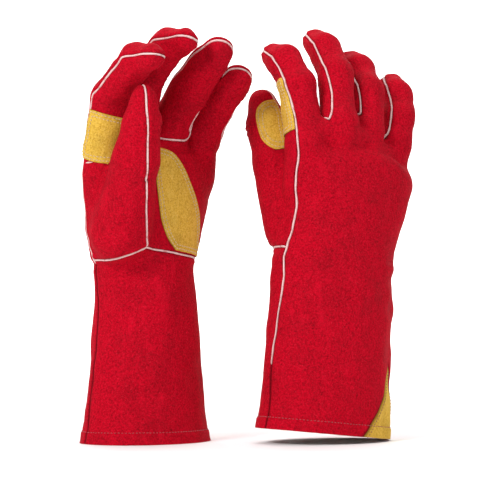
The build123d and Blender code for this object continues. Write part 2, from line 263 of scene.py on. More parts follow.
class Glove:
    """One glove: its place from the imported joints, its distance function and its seams."""

    def __init__(self, side):
        self.side = side
        self.hand = THUMB_SIDE[side]
        joint = next(j for j in frame["joints"] if j["name"] == f"{side}_index_bend")
        across = -Vector(joint["axis"]).normalized()
        forward = Vector((0, 0, 1)).cross(across).normalized()
        up = across.cross(forward)
        self.turn = np.array([across, forward, up]).T
        self.mirror = np.diag([self.hand, 1, 1])
        self.to_world = self.turn @ self.mirror
        root = np.array(ROOTS["index"], float)
        self.origin = np.array(joint["pos_m"]) / MM - self.to_world @ root
        self.digits = {n: Digit(n, *SHAPES[side][n]) for n in DIGITS}
        self.digits["thumb"].shift((-5, 0, 0))
        if side == "right":
            self.digits["little"].shift((-3.5, 0, 0))
        self.webs = []
        for top, near, far in zip(WEBS[side], DIGITS, DIGITS[1:4]):
            self.webs.append([self.digits[n].axis_at(top - WEB_RADIUS) for n in (near, far)])

    def world(self, p):
        return (p @ self.to_world.T + self.origin) * MM

    def section(self, z):
        table = SECTIONS[self.side]
        out = []
        for column in range(1, 5):
            value = 0.5 * np.interp(z, table[:, 0], table[:, column])
            value += 0.25 * np.interp(z - 10, table[:, 0], table[:, column])
            value += 0.25 * np.interp(z + 10, table[:, 0], table[:, column])
            out.append(value)
        return out

    def hand_distance(self, p):
        a, b, cx, cy = self.section(p[:, 2])
        x, y = p[:, 0] - cx, p[:, 1] - cy
        k0 = np.sqrt((x / a) ** 2 + (y / b) ** 2)
        k1 = np.sqrt((x / a**2) ** 2 + (y / b**2) ** 2) + 1e-9
        tube = k0 * (k0 - 1) / k1
        lid = p[:, 2] - HAND_TOP + 0.004 * (p[:, 0] + 6) ** 2
        return -smooth_min(-tube, -lid, 14)

    def distance(self, p):
        hand = self.hand_distance(p)
        thumb = self.digits["thumb"]
        mound = round_cone(p, MOUND_BASE, thumb.root, MOUND_RADIUS[self.side], thumb.radii[0])
        body = smooth_min(hand, mound, 9)
        body = smooth_min(body, thumb.distance(p), 5)
        out = body
        for name in DIGITS[:4]:
            digit = self.digits[name]
            stub = digit.root + np.array([0, -0.4 * digit.root[1], -34])
            finger = smooth_min(
                digit.distance(p),
                round_cone(p, stub, digit.root, digit.radii[0] - 2, digit.radii[0]), 6)
            out = np.minimum(out, smooth_min(hand, finger, 9))
        for near, far in self.webs:
            out = smooth_min(out, round_cone(p, near, far, WEB_RADIUS, WEB_RADIUS - 0.1), 4)
        return out

    def normals(self, p):
        h = 0.4
        grad = np.stack([
            self.distance(p + h * np.eye(3)[i]) - self.distance(p - h * np.eye(3)[i])
            for i in range(3)], axis=1) / (2 * h)
        return grad

    def zone(self, p):
        """Index of the digit that each point belongs to, or -1 for the hand."""
        near = np.stack([self.digits[n].distance(p) for n in DIGITS])
        pick = near.argmin(axis=0)
        out = np.full(len(p), -1)
        for i, name in enumerate(DIGITS):
            digit = self.digits[name]
            mine = (pick == i) & (digit.along(p) > digit.blend[0])
            if name == "thumb":
                mine &= near[i] < self.hand_distance(p) + 2
            out[mine] = i
        return out

    def nearest_digit(self, p):
        near = np.stack([self.digits[n].distance(p) for n in DIGITS])
        return near.argmin(axis=0), near.min(axis=0)

    def finger_gap(self, p):
        """How much further the second nearest finger is than the nearest."""
        near = np.sort([self.digits[n].distance(p) for n in DIGITS[:4]], axis=0)
        return near[1] - near[0]

    def side_field(self, p):
        """Where the skin is cut into back (negative) and palm (positive)."""
        x, y, z = p.T
        drop = {"left": 3.0, "right": 3.5}[self.side]
        sway = {"left": 2.0, "right": 5.0}[self.side]
        radial = smoothstep(x, 10, 50)
        hand = y + SEAM_TURN * x * (1 - radial)
        hand += radial * (drop + 4 * smoothstep(z, 150, 200) + sway * bump(z - 135, 32))
        out = hand
        pick, _ = self.nearest_digit(p)
        apart = smoothstep(self.finger_gap(p), 0, 6)
        for i, name in enumerate(DIGITS):
            digit = self.digits[name]
            if name == "thumb":
                share = (digit.distance(p) < self.hand_distance(p)).astype(float)
                share *= digit.along(p) > -10
                mine = (pick == i) & (share > 0)
            else:
                share = smoothstep(digit.along(p), -16, 10)
                mine = pick == i
            if name == "thumb":
                value = self.thumb_side(p)
            else:
                value = self.finger_side(digit, p, apart * FINGER_SEAM[self.side][i])
            out = np.where(mine, hand * (1 - share) + value * share, out)
        return out

    def wrist_field(self, p):
        low = WRIST_SIDE[self.side]
        line = np.interp(p[:, 0], [-WRIST_HALF, WRIST_PEAK_X, WRIST_HALF],
                         [low, WRIST_PEAK, low])
        return p[:, 2] - line

    def mound_field(self, p):
        """Positive on the thumb's side of the seam up the palm to the thumb."""
        return p[:, 0] - np.interp(p[:, 2], *MOUND_SEAM.T)

    def finger_side(self, digit, p, degrees):
        """The finger's side field turned about it, less so towards the tip."""
        turn = np.radians(degrees) * (1 - 0.6 * smoothstep(digit.along(p), 20, 60))
        across = (p - digit.root) @ digit.turn[:, 0]
        return np.cos(turn) * digit.side(p) + np.sin(turn) * across

    def thumb_side(self, p):
        """Positive on the thumb's inner panel, which faces the fingers."""
        digit = self.digits["thumb"]
        turn = np.radians(np.interp(digit.along(p), [0, 60], THUMB_SEAM))
        across = (p - digit.root) @ digit.turn[:, 0]
        return np.cos(turn) * digit.side(p) - np.sin(turn) * across

    def gusset_field(self, p):
        """Negative inside the gusset."""
        c, s = math.cos(GUSSET_FACING), math.sin(GUSSET_FACING)
        out = -c * p[:, 0] - s * p[:, 1]
        across = s * p[:, 0] - c * p[:, 1]
        up = p[:, 2] - HEM_LEVEL[self.side]
        half = np.where(across > 0, GUSSET_BACK, GUSSET_PALM) * (1 - up / GUSSET_HEIGHT)
        slope = GUSSET_HEIGHT / math.hypot(GUSSET_HEIGHT, GUSSET_BACK)
        return np.where(out > 0, (np.abs(across) - half) * slope, 20.0)


# ---------------------------------------------------------------- skin mesh

def grid_slice(axis_a, axis_b, shift_a, shift_b, shape):
    index = [slice(None)] * 3
    index[axis_a] = slice(shift_a, shape[axis_a] - 1 + shift_a)
    index[axis_b] = slice(shift_b, shape[axis_b] - 1 + shift_b)
    return tuple(index)


def surface_nets(values, low, step):
    """Quads over the zero level of a grid of distances."""
    shape = values.shape
    cells = tuple(n - 1 for n in shape)
    total, count = np.zeros((*cells, 3)), np.zeros(cells)
    crossings = []
    for axis in range(3):
        lower, upper = [slice(None)] * 3, [slice(None)] * 3
        lower[axis], upper[axis] = slice(0, -1), slice(1, None)
        v0, v1 = values[tuple(lower)], values[tuple(upper)]
        cross = (v0 < 0) != (v1 < 0)
        place = np.stack(np.meshgrid(*map(np.arange, cross.shape), indexing="ij"), -1)
        place = place.astype(float)
        place[..., axis] += np.where(cross, v0 / np.where(cross, v0 - v1, 1), 0)
        a, b = [i for i in range(3) if i != axis]
        for da in (0, 1):
            for db in (0, 1):
                part = grid_slice(a, b, da, db, shape)
                total += place[part] * cross[part][..., None]
                count += cross[part]
        crossings.append((axis, a, b, cross, v0 < 0))
    used = count > 0
    number = np.full(cells, -1)
    number[used] = np.arange(used.sum())
    points = total[used] / count[used][:, None] * step + low
    faces = []
    for axis, a, b, cross, inside in crossings:
        at = np.argwhere(cross)
        keep = (at[:, a] > 0) & (at[:, b] > 0) & (at[:, a] < cells[a]) & (at[:, b] < cells[b])
        at = at[keep]
        corner = []
        for da, db in ((-1, -1), (0, -1), (0, 0), (-1, 0)):
            cell = at.copy()
            cell[:, a] += da
            cell[:, b] += db
            corner.append(number[tuple(cell.T)])
        quad = np.stack(corner, 1)
        turn = inside[tuple(at.T)] == (axis == 1)
        quad[turn] = quad[turn][:, ::-1]
        faces.append(quad)
    return points, np.concatenate(faces)


def settle(glove, points, rounds=2):
    """Move points onto the glove's skin."""
    for _ in range(rounds):
        grad = glove.normals(points)
        size = np.einsum("ij,ij->i", grad, grad)[:, None]
        move = glove.distance(points)[:, None] * grad / np.maximum(size, 0.2)
        points = points - np.clip(move, -2, 2)
    return points


def mesh_arrays(mesh):
    co = np.zeros(len(mesh.vertices) * 3)
    mesh.vertices.foreach_get("co", co)
    edges = np.zeros(len(mesh.edges) * 2, int)
    mesh.edges.foreach_get("vertices", edges)
    return co.reshape(-1, 3), edges.reshape(-1, 2)


def skin_bmesh(glove):
    low = np.array([-92, -54, HEM_LEVEL[glove.side] - 12.0])
    high = np.array([84, 86, 360.0])
    counts = np.ceil((high - low) / STEP).astype(int)
    axes = [low[i] + STEP * np.arange(counts[i]) for i in range(3)]
    grid = np.stack(np.meshgrid(*axes, indexing="ij"), -1)
    values = glove.distance(grid.reshape(-1, 3)).reshape(grid.shape[:3])
    points, quads = surface_nets(values, low, STEP)
    points = settle(glove, points)
    mesh = bpy.data.meshes.new("skin")
    mesh.from_pydata(points.tolist(), [], quads.tolist())
    holder = bpy.data.objects.new("skin", mesh)
    bpy.context.scene.collection.objects.link(holder)
    holder.modifiers.new("fine", "SUBSURF").levels = 1
    graph = bpy.context.evaluated_depsgraph_get()
    fine = bpy.data.meshes.new_from_object(holder.evaluated_get(graph))
    bpy.data.objects.remove(holder)
    co, _ = mesh_arrays(fine)
    fine.vertices.foreach_set("co", settle(glove, co, 1).ravel())
    bm = bmesh.new()
    bm.from_mesh(fine)
    return bm


def cut(bm, field):
    """Split edges and faces where the field is zero."""
    scratch = bpy.data.meshes.new("scratch")
    bm.to_mesh(scratch)
    co, edges = mesh_arrays(scratch)
    bpy.data.meshes.remove(scratch)
    value = field(co)
    value[np.abs(value) < 0.04] = 0
    first, second = value[edges[:, 0]], value[edges[:, 1]]
    bm.verts.ensure_lookup_table()
    bm.edges.ensure_lookup_table()
    zero = {bm.verts[i] for i in np.flatnonzero(value == 0)}
    picked = [
        (bm.edges[i], bm.verts[edges[i, 0]], first[i] / (first[i] - second[i]))
        for i in np.flatnonzero(first * second < 0)
    ]
    for edge, start, share in picked:
        zero.add(bmesh.utils.edge_split(edge, start, share)[1])
    for face in {f for v in zero for f in v.link_faces}:
        ends = [v for v in face.verts if v in zero]
        if len(ends) == 2 and not any(e.other_vert(ends[0]) == ends[1] for e in ends[0].link_edges):
            bmesh.utils.face_split(face, ends[0], ends[1])


def polygon_field(points, outline):
    """Signed distance in the plane to a closed outline, negative inside."""
    best = np.full(len(points), 1e9)
    inside = np.zeros(len(points), bool)
    for a, b in zip(outline, np.roll(outline, -1, axis=0)):
        run = b - a
        t = np.clip(((points - a) @ run) / (run @ run), 0, 1)
        best = np.minimum(best, np.linalg.norm(points - a - np.outer(t, run), axis=1))
        over = (a[1] > points[:, 1]) != (b[1] > points[:, 1])
        height = np.where(over, points[:, 1] - a[1], 0)
        slope = run[0] / run[1] if abs(run[1]) > 1e-9 else 0
        inside ^= over & (points[:, 0] < a[0] + height * slope)
    return np.where(inside, -best, best)


def curve_points(corners, count=8):
    """Smooth line through a few points (Catmull-Rom)."""
    corners = np.array(corners, float)
    ends = [2 * corners[0] - corners[1], *corners, 2 * corners[-1] - corners[-2]]
    out = []
    for p0, p1, p2, p3 in zip(ends, ends[1:], ends[2:], ends[3:]):
        for t in np.arange(count) / count:
            out.append(0.5 * (2 * p1 + (p2 - p0) * t + (2 * p0 - 5 * p1 + 4 * p2 - p3) * t**2
                              + (3 * p1 - p0 - 3 * p2 + p3) * t**3))
    return np.array([*out, corners[-1]])


# Reinforcement patches: fields that are negative inside
PALM_PATCH = np.concatenate([
    curve_points([(12, 250), (-5, 246), (-15, 238), (-27, 218), (-38, 193), (-43, 172),
                  (-44, 157)]),
    curve_points([(-7, 163), (2, 176), (8, 192), (11, 215), (12, 236)]),
])


def palm_patch(glove, p):
    flat = polygon_field(p[:, [0, 2]], PALM_PATCH)
    flat = np.maximum(flat, 1.6 - glove.wrist_field(p))
    flat = np.maximum(flat, p[:, 0] - 22)
    return np.where(p[:, 1] > 6, flat, 20.0)


INDEX_PATCH = {"left": (-5, 33, 0.16), "right": (14, 56, 0.3)}


def index_patch(glove, p):
    digit = glove.digits["index"]
    low, high, slope = INDEX_PATCH[glove.side]
    place = digit.along(p)
    across = (p - digit.root) @ digit.turn[:, 0]
    front = glove.side_field(p)
    band = np.maximum(low - place - 0.1 * across, place - high - slope * across)
    band = np.maximum(band, 1.3 - front)
    pick, near = glove.nearest_digit(p)
    mine = (pick == 0) & (near < 6) & (glove.hand_distance(p) > -4) & (p[:, 0] > 26)
    return np.where(mine, band, 20.0)


# Along the thumb: middle and half length; across it: half width and shift
THUMB_PATCH = {"left": (26, 24.5, 9.5, 11.5), "right": (25.5, 24.5, 16.5, 7.5)}


def thumb_patch(glove, p):
    digit = glove.digits["thumb"]
    middle, half_long, half_wide, shift = THUMB_PATCH[glove.side]
    rel = p - digit.root
    place = rel @ digit.first
    off = rel - np.outer(place, digit.first)
    across = -0.82 * off[:, 0] - 0.57 * off[:, 1] - shift
    facing = 0.57 * off[:, 0] - 0.82 * off[:, 1]
    oval = (np.abs((place - middle) / half_long) ** 2.6
            + np.abs(across / half_wide) ** 2.6) ** (1 / 2.6)
    flat = np.maximum((oval - 1) * half_wide, 1.3 + glove.thumb_side(p))
    pick, near = glove.nearest_digit(p)
    mine = (pick == 4) & (near < 5) & (facing > -2) & (place > 2)
    return np.where(mine, flat, 20.0)


# Welt across the palm under the middle and ring fingers: across and up
BASE_WELT = curve_points([(21, 266.5), (8, 263.5), (-8, 257), (-22, 255.5), (-31, 257), (-36, 265)], 10)


def on_palm(glove, flat):
    """Where lines square to the palm meet the skin."""
    points = np.array([(x, 70.0, z) for x, z in flat])
    for _ in range(40):
        points[:, 1] -= np.maximum(glove.distance(points), -2) * 0.8
    return points


def distance_to_line(points, line):
    best = np.full(len(points), 1e9)
    low, high = line.min(0) - 9, line.max(0) + 9
    near = np.flatnonzero(np.all((points > low) & (points < high), axis=1))
    if len(near):
        gaps = np.linalg.norm(points[near][:, None] - line[None], axis=2)
        best[near] = gaps.min(axis=1)
    return best


def seam_relief(distance, depth, puff):
    return puff * bump(np.abs(distance) - 3.2, 2.0) - depth * bump(distance, 1.1)


def relief(glove, p, base_welt):
    """How far the real leather stands off the plain skin, and how near a seam it is."""
    level = p[:, 2] - HEM_LEVEL[glove.side]
    side = glove.side_field(p)
    zone = glove.zone(p)
    cuff = 1 - smoothstep(p[:, 2], 145, 170)
    palm = side > 0
    on_hand = zone < 0
    welted = np.where(on_hand, smoothstep(p[:, 2], 146, 156), 1)
    seam = np.abs(side)
    out = seam_relief(side, 0.55 + 0.45 * welted, 0.35 + 0.4 * welted)
    wrist = np.where(palm & on_hand, glove.wrist_field(p), 99)
    out += seam_relief(wrist, 0.9, 0.8)
    mound_line = np.where(
        palm & on_hand & (p[:, 2] > 163) & (p[:, 2] < 221) & (p[:, 1] > 20),
        glove.mound_field(p), 99)
    out += seam_relief(mound_line, 0.8, 0.5)
    base_gap = distance_to_line(p, base_welt)
    out += seam_relief(base_gap, 0.9, 0.6)
    gusset = glove.gusset_field(p)
    out += seam_relief(gusset, 0.5, 0.25) * (gusset < 15)
    for line in (wrist, mound_line, base_gap, gusset):
        seam = np.minimum(seam, np.abs(line))

    # turned hem with its stitch line
    out += 0.9 * (1 - smoothstep(level, HEM - 1.5, HEM + 1)) - 0.5 * bump(level - HEM, 0.9)

    # long soft folds down the cuff, lumps and small creases in the leather
    seed = {"left": 11, "right": 29}[glove.side]
    out += 2.8 * cuff * smoothstep(level, 4, 50) * lattice_noise(p * [1, 1, 0.3], 26, seed)
    out += 1.5 * lattice_noise(p, 30, seed + 1) + 0.8 * lattice_noise(p, 13, seed + 2)
    out += 0.10 * lattice_noise(p, 4.5, seed + 3)
    wrist_fold = bump(p[:, 2] - 152, 22) * (1 - smoothstep(p[:, 1], -10, 25) * 0.4)
    folds = lattice_noise(p * [0.35, 0.35, 1] + [0, 0, 7], 7.5, seed + 4)
    out += 1.5 * wrist_fold * folds
    # creases inside the bends of the digits and across the knuckles' palm side
    for i, name in enumerate(DIGITS):
        digit = glove.digits[name]
        mine = zone == i
        if not mine.any():
            continue
        place = digit.bone_place(p[mine])
        inner = smoothstep(digit.side(p[mine]), 0, 9)
        waves = np.zeros(mine.sum())
        spot = 0
        for length in digit.lengths[:-1]:
            spot += length
            for shift, depth in ((-4.5, 0.5), (0.5, 1.0), (5.0, 0.55)):
                wobble = 1.6 * lattice_noise(p[mine], 14, seed + 5 + i)
                waves -= depth * bump(place - spot - shift - wobble, 1.5)
        out[mine] += waves * inner
        out[mine] += 0.5 * lattice_noise(p[mine], 9, seed + 12)
    pull = bump(p[:, 2] - 246, 14) * smoothstep(p[:, 1], 8, 22) * on_hand
    out += 0.8 * pull * lattice_noise(p * [0.5, 1, 1.2], 7, seed + 20)
    return out, seam


# ---------------------------------------------------------------- pieces

def new_piece(name, points, faces, glove, material, smooth=True):
    """Mesh object from glove points; the mirrored glove's faces are turned over."""
    mesh = bpy.data.meshes.new(name)
    if glove.hand < 0:
        faces = [f[::-1] for f in faces]
    points = glove.world(np.asarray(points, float))
    points[:, 2] = np.maximum(points[:, 2], 0)
    mesh.from_pydata(points.tolist(), [], faces)
    mesh.materials.append(material)
    mesh.polygons.foreach_set("use_smooth", [smooth] * len(mesh.polygons))
    mesh.update()
    piece = bpy.data.objects.new(name, mesh)
    bpy.context.scene.collection.objects.link(piece)
    return piece


def place_piece(piece, glove, digit=None, nodes=()):
    """Ride on the hand; a digit's piece is baked in place where it was built, the stretch up its root
    worked out but not used.
    """
    if digit is None:
        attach(piece, f"{glove.side}_hand")
    else:
        start, end = (glove.digits[digit].root + glove.digits[digit].first * t
                      for t in glove.digits[digit].blend)
        start, end = glove.world(np.array([start, end]))
        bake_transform(piece)
    if nodes:
        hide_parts(*(f"{glove.side}_{n}" for n in nodes))
    return piece


class Skin:
    """The cut skin of one glove as arrays, with labels for its panels."""

    def __init__(self, glove):
        self.glove = glove
        bm = skin_bmesh(glove)
        level = HEM_LEVEL[glove.side]
        cut(bm, lambda p: p[:, 2] - level)
        below = [f for f in bm.faces if f.calc_center_median().z < level]
        bmesh.ops.delete(bm, geom=below, context="FACES")
        cut(bm, glove.side_field)
        cut(bm, lambda p: np.where(p[:, 1] > -15, glove.wrist_field(p), 20.0))
        cut(bm, lambda p: np.where((p[:, 1] > 5) & (p[:, 2] > 150), glove.mound_field(p), 20.0))
        cut(bm, glove.gusset_field)
        for name in DIGITS:
            digit = glove.digits[name]
            cut(bm, lambda p, d=digit: np.where(
                np.linalg.norm(p - d.root, axis=1) < 44, d.along(p) - d.blend[0], 20.0))
        for patch in (palm_patch, index_patch, thumb_patch):
            cut(bm, lambda p, f=patch: f(glove, p))
        mesh = bpy.data.meshes.new("cut_skin")
        bm.to_mesh(mesh)
        bm.free()
        self.plain, _ = mesh_arrays(mesh)
        self.faces = [tuple(f.vertices) for f in mesh.polygons]
        bpy.data.meshes.remove(mesh)
        self.middles = np.array([self.plain[list(f)].mean(0) for f in self.faces])
        self.tris = np.array(
            [(f[0], f[i], f[i + 1]) for f in self.faces for i in range(1, len(f) - 1)])
        self.zone = glove.zone(self.middles)
        self.side = glove.side_field(self.middles)
        base = on_palm(glove, BASE_WELT)
        lift, self.seam = relief(glove, self.plain, base)
        grad = glove.normals(self.plain)
        self.out = grad / np.maximum(np.linalg.norm(grad, axis=1), 1e-6)[:, None]
        self.points = self.plain + self.out * lift[:, None]
        self.points[:, 2] = np.maximum(self.points[:, 2], level)
        self.shade = self.vertex_normals()
        self.base_welt = base + self.outward(base) * 0.2

    def outward(self, p):
        grad = self.glove.normals(p)
        return grad / np.maximum(np.linalg.norm(grad, axis=1), 1e-6)[:, None]

    def vertex_normals(self):
        a, b, c = (self.points[self.tris[:, i]] for i in range(3))
        normal = np.cross(b - a, c - a)
        out = np.zeros_like(self.points)
        for i in range(3):
            np.add.at(out, self.tris[:, i], normal)
        return out / np.maximum(np.linalg.norm(out, axis=1), 1e-9)[:, None]

    def panel(self, name, mask, material, lift=0.0, turned=False, rim=0.0, quilt=None):
        """Piece made of the faces in a mask, moved along the skin's normals."""
        picked = [self.faces[i] for i in np.flatnonzero(mask)]
        used = np.unique(np.concatenate([np.array(f) for f in picked]))
        number = np.full(len(self.points), -1)
        number[used] = np.arange(len(used))
        rise = np.full(len(used), float(lift))
        if quilt is not None:
            rise += quilt[used]
        points = self.points[used] + self.shade[used] * rise[:, None]
        faces = [tuple(int(number[v]) for v in f) for f in picked]
        normals = self.shade[used]
        seam = self.seam[used]
        if turned:
            faces = [f[::-1] for f in faces]
            normals = -normals
        if rim:
            points, faces, normals, seam = self.with_rim(points, faces, normals, seam, used, rim)
        piece = new_piece(name, points, faces, self.glove, material)
        layer = piece.data.attributes.new("seam", "FLOAT", "POINT")
        layer.data.foreach_set("value", seam.astype(np.float32))
        world = normals @ self.glove.to_world.T
        piece.data.normals_split_custom_set_from_vertices(world.tolist())
        return piece

    def with_rim(self, points, faces, normals, seam, used, depth):
        """Close a raised panel down its edge, back to the skin."""
        sides = {}
        for f in faces:
            for a, b in zip(f, f[1:] + f[:1]):
                sides[(a, b)] = True
        border = [(a, b) for a, b in sides if (b, a) not in sides]
        loop = sorted({v for e in border for v in e})
        start = len(points)
        low = {v: start + i for i, v in enumerate(loop)}
        soft = {v: start + len(loop) + i for i, v in enumerate(loop)}
        base = points[loop] - normals[loop] * depth
        edge = points[loop] - normals[loop] * 0.25
        points[loop] -= normals[loop] * 0.05
        faces = faces + [(b, a, soft[a], soft[b]) for a, b in border]
        faces += [(soft[b], soft[a], low[a], low[b]) for a, b in border]
        points = np.concatenate([points, base, edge])
        normals = np.concatenate([normals, normals[loop], normals[loop]])
        # A seam value of 0 gives the rim walls the suede's full painted seam shade.
        seam = np.concatenate([seam, np.zeros(2 * len(loop))])
        return points, faces, normals, seam

    def lines(self, values, keep=None, level=0.0, shortest=8):
        """Lines over the skin where values pass a level, longest first."""
        values = values - level
        sign = values > 0
        tri = self.tris
        mixed = sign[tri].any(1) & ~sign[tri].all(1)
        spread = values[tri].max(1) - values[tri].min(1)
        mixed &= spread < LINE_JUMP
        if keep is not None:
            mixed &= keep[tri].all(1)
        place, links = {}, {}
        for face in tri[mixed]:
            ends = []
            for i in range(3):
                a, b = sorted((int(face[i]), int(face[i - 2])))
                if sign[a] != sign[b]:
                    share = values[a] / (values[a] - values[b])
                    place[(a, b)] = self.points[a] + share * (self.points[b] - self.points[a])
                    ends.append((a, b))
            links.setdefault(ends[0], []).append(ends[1])
            links.setdefault(ends[1], []).append(ends[0])
        chains, seen = [], set()
        for start in [k for k in links if len(links[k]) == 1] + list(links):
            if start in seen:
                continue
            chain, here = [start], start
            seen.add(start)
            while True:
                ahead = [k for k in links[here] if k not in seen]
                if not ahead:
                    break
                here = ahead[0]
                seen.add(here)
                chain.append(here)
            closed = len(chain) > 3 and start in links[here]
            line = np.array([place[k] for k in chain + chain[:1] * closed])
            if np.linalg.norm(np.diff(line, axis=0), axis=1).sum() > shortest:
                chains.append(line)
        return sorted(chains, key=len, reverse=True)


def resample(line, gap, rounds=3):
    line = np.asarray(line, float)
    for _ in range(rounds):
        middle = 0.25 * line[:-2] + 0.5 * line[1:-1] + 0.25 * line[2:]
        line = np.concatenate([line[:1], middle, line[-1:]])
    step = np.linalg.norm(np.diff(line, axis=0), axis=1)
    run = np.concatenate([[0], np.cumsum(step)])
    count = max(int(run[-1] / gap), 2)
    at = np.linspace(0, run[-1], count + 1)
    return np.stack([np.interp(at, run, line[:, i]) for i in range(3)], 1)


def line_frames(line):
    ahead = np.gradient(line, axis=0)
    return ahead / np.maximum(np.linalg.norm(ahead, axis=1), 1e-9)[:, None]


def welt_rings(glove, line, seed, width=WELT_WIDTH, height=2.4, sides=8):
    """Rings of a piping strip that stands out of a seam, uneven as sewn leather is."""
    line = resample(line, 1.0, WELT_ROUNDS)
    ahead = line_frames(line)
    grad = glove.normals(line)
    out = grad - ahead * np.einsum("ij,ij->i", grad, ahead)[:, None]
    out /= np.maximum(np.linalg.norm(out, axis=1), 1e-6)[:, None]
    across = np.cross(ahead, out)
    uneven = lattice_noise(line, 9, seed) * 0.22 + lattice_noise(line, 3, seed + 1) * 0.12
    ends = np.minimum(np.arange(len(line)), np.arange(len(line))[::-1])
    taper = np.clip(0.35 + ends / 4.0, 0, 1)
    half = np.broadcast_to(width, len(line)) / 2 * (1 + uneven) * taper
    tall = height / 2 * (1 + 0.4 * uneven) * taper
    sway = lattice_noise(line, 7, seed + 2) * 0.25
    angle = 2 * np.pi * np.arange(sides) / sides
    return line, (line + across * sway[:, None])[:, None] \
        + across[:, None] * (half[:, None] * np.cos(angle))[..., None] \
        + out[:, None] * (tall[:, None] * np.sin(angle) + WELT_RISE)[..., None]


def ring_faces(rings, sides, cap_start, cap_end):
    faces = []
    for i in range(rings - 1):
        for j in range(sides):
            k = (j + 1) % sides
            faces.append((i * sides + j, (i + 1) * sides + j, (i + 1) * sides + k, i * sides + k))
    if cap_start:
        faces.append(tuple(range(sides)))
    if cap_end:
        faces.append(tuple((rings - 1) * sides + j for j in range(sides))[::-1])
    return faces


def add_welt(parts, glove, line, seed, **sizes):
    """Piping along a line, shared out between the hand and the digits it passes over."""
    line, rings = welt_rings(glove, line, seed, **sizes)
    zone = glove.zone(line)
    breaks = [0, *(np.flatnonzero(np.diff(zone)) + 1), len(line) - 1]
    for start, end in zip(breaks, breaks[1:]):
        if end <= start:
            continue
        some = rings[start:end + 1]
        faces = ring_faces(len(some), rings.shape[1], start == 0, end == len(line) - 1)
        parts.setdefault(int(zone[start]), []).append((some.reshape(-1, 3), faces))


def stitch_row(glove, line, pitch=3.3, length=2.4, radius=0.34, lift=0.2, seed=0):
    """Row of separate sewn stitches lying on the skin."""
    line = resample(line, pitch, 1)
    ahead = line_frames(line)
    grad = glove.normals(line)
    out = grad / np.maximum(np.linalg.norm(grad, axis=1), 1e-6)[:, None]
    across = np.cross(ahead, out)
    jitter = lattice_noise(line, 2.0, seed) * 0.12
    points, faces = [], []
    sides, rings = 6, ((-0.5, 0.35, -0.35), (-0.3, 0.9, 0.1), (0, 1, 0.25), (0.3, 0.9, 0.1),
                       (0.5, 0.35, -0.35))
    for i in range(len(line)):
        start = len(points)
        for along, share, up in rings:
            middle = line[i] + ahead[i] * along * length + out[i] * (lift + up)
            middle = middle + across[i] * jitter[i]
            for j in range(sides):
                turn = 2 * math.pi * j / sides
                points.append(middle + radius * share * (
                    across[i] * math.cos(turn) + out[i] * math.sin(turn)))
        for ring in range(len(rings) - 1):
            for j in range(sides):
                k = (j + 1) % sides
                a, b = start + ring * sides, start + (ring + 1) * sides
                faces.append((a + k, a + j, b + j, b + k))
    return np.array(points), faces


def joined(parts):
    points, faces, start = [], [], 0
    for p, f in parts:
        points.append(p)
        faces += [tuple(v + start for v in face) for face in f]
        start += len(p)
    return np.concatenate(points), faces


# ---------------------------------------------------------------- materials

def new_material(name):
    material = bpy.data.materials.new(name)
    material.use_nodes = True
    tree = material.node_tree
    shader = tree.nodes["Principled BSDF"]
    return material, tree, shader


def node(tree, kind, values=(), **settings):
    made = tree.nodes.new(kind)
    for key, value in settings.items():
        setattr(made, key, value)
    for key, value in values:
        made.inputs[key].default_value = value
    return made


def noise_node(tree, place, scale, detail=4, rough=0.6, stretch=None):
    if stretch:
        scaled = node(tree, "ShaderNodeMapping", [("Scale", stretch)])
        tree.links.new(place, scaled.inputs["Vector"])
        place = scaled.outputs[0]
    made = node(tree, "ShaderNodeTexNoise",
                [("Scale", scale), ("Detail", detail), ("Roughness", rough)])
    tree.links.new(place, made.inputs["Vector"])
    return made.outputs["Fac"]


def ramp_node(tree, fac, stops):
    made = tree.nodes.new("ShaderNodeValToRGB")
    ramp = made.color_ramp
    while len(ramp.elements) < len(stops):
        ramp.elements.new(0.5)
    for element, (place, colour) in zip(ramp.elements, stops):
        element.position = place
        element.color = (*colour, 1)
    tree.links.new(fac, made.inputs["Fac"])
    return made.outputs["Color"]


def mix_node(tree, kind, fac, a, b):
    made = tree.nodes.new("ShaderNodeMix")
    made.data_type = "RGBA"
    made.blend_type = kind
    for socket, value in ((made.inputs["Factor"], fac), (made.inputs["A"], a),
                          (made.inputs["B"], b)):
        if isinstance(value, bpy.types.NodeSocket):
            tree.links.new(value, socket)
        elif isinstance(value, tuple):
            socket.default_value = (*value, 1)
        else:
            socket.default_value = value
    return made.outputs["Result"]


def map_node(tree, value, low, high, to_low, to_high):
    made = node(tree, "ShaderNodeMapRange", [
        ("From Min", low), ("From Max", high), ("To Min", to_low), ("To Max", to_high)])
    tree.links.new(value, made.inputs["Value"])
    return made.outputs["Result"]


def bump_node(tree, height, strength, distance, under=None):
    made = node(tree, "ShaderNodeBump", [("Strength", strength), ("Distance", distance)])
    tree.links.new(height, made.inputs["Height"])
    if under:
        tree.links.new(under, made.inputs["Normal"])
    return made.outputs["Normal"]


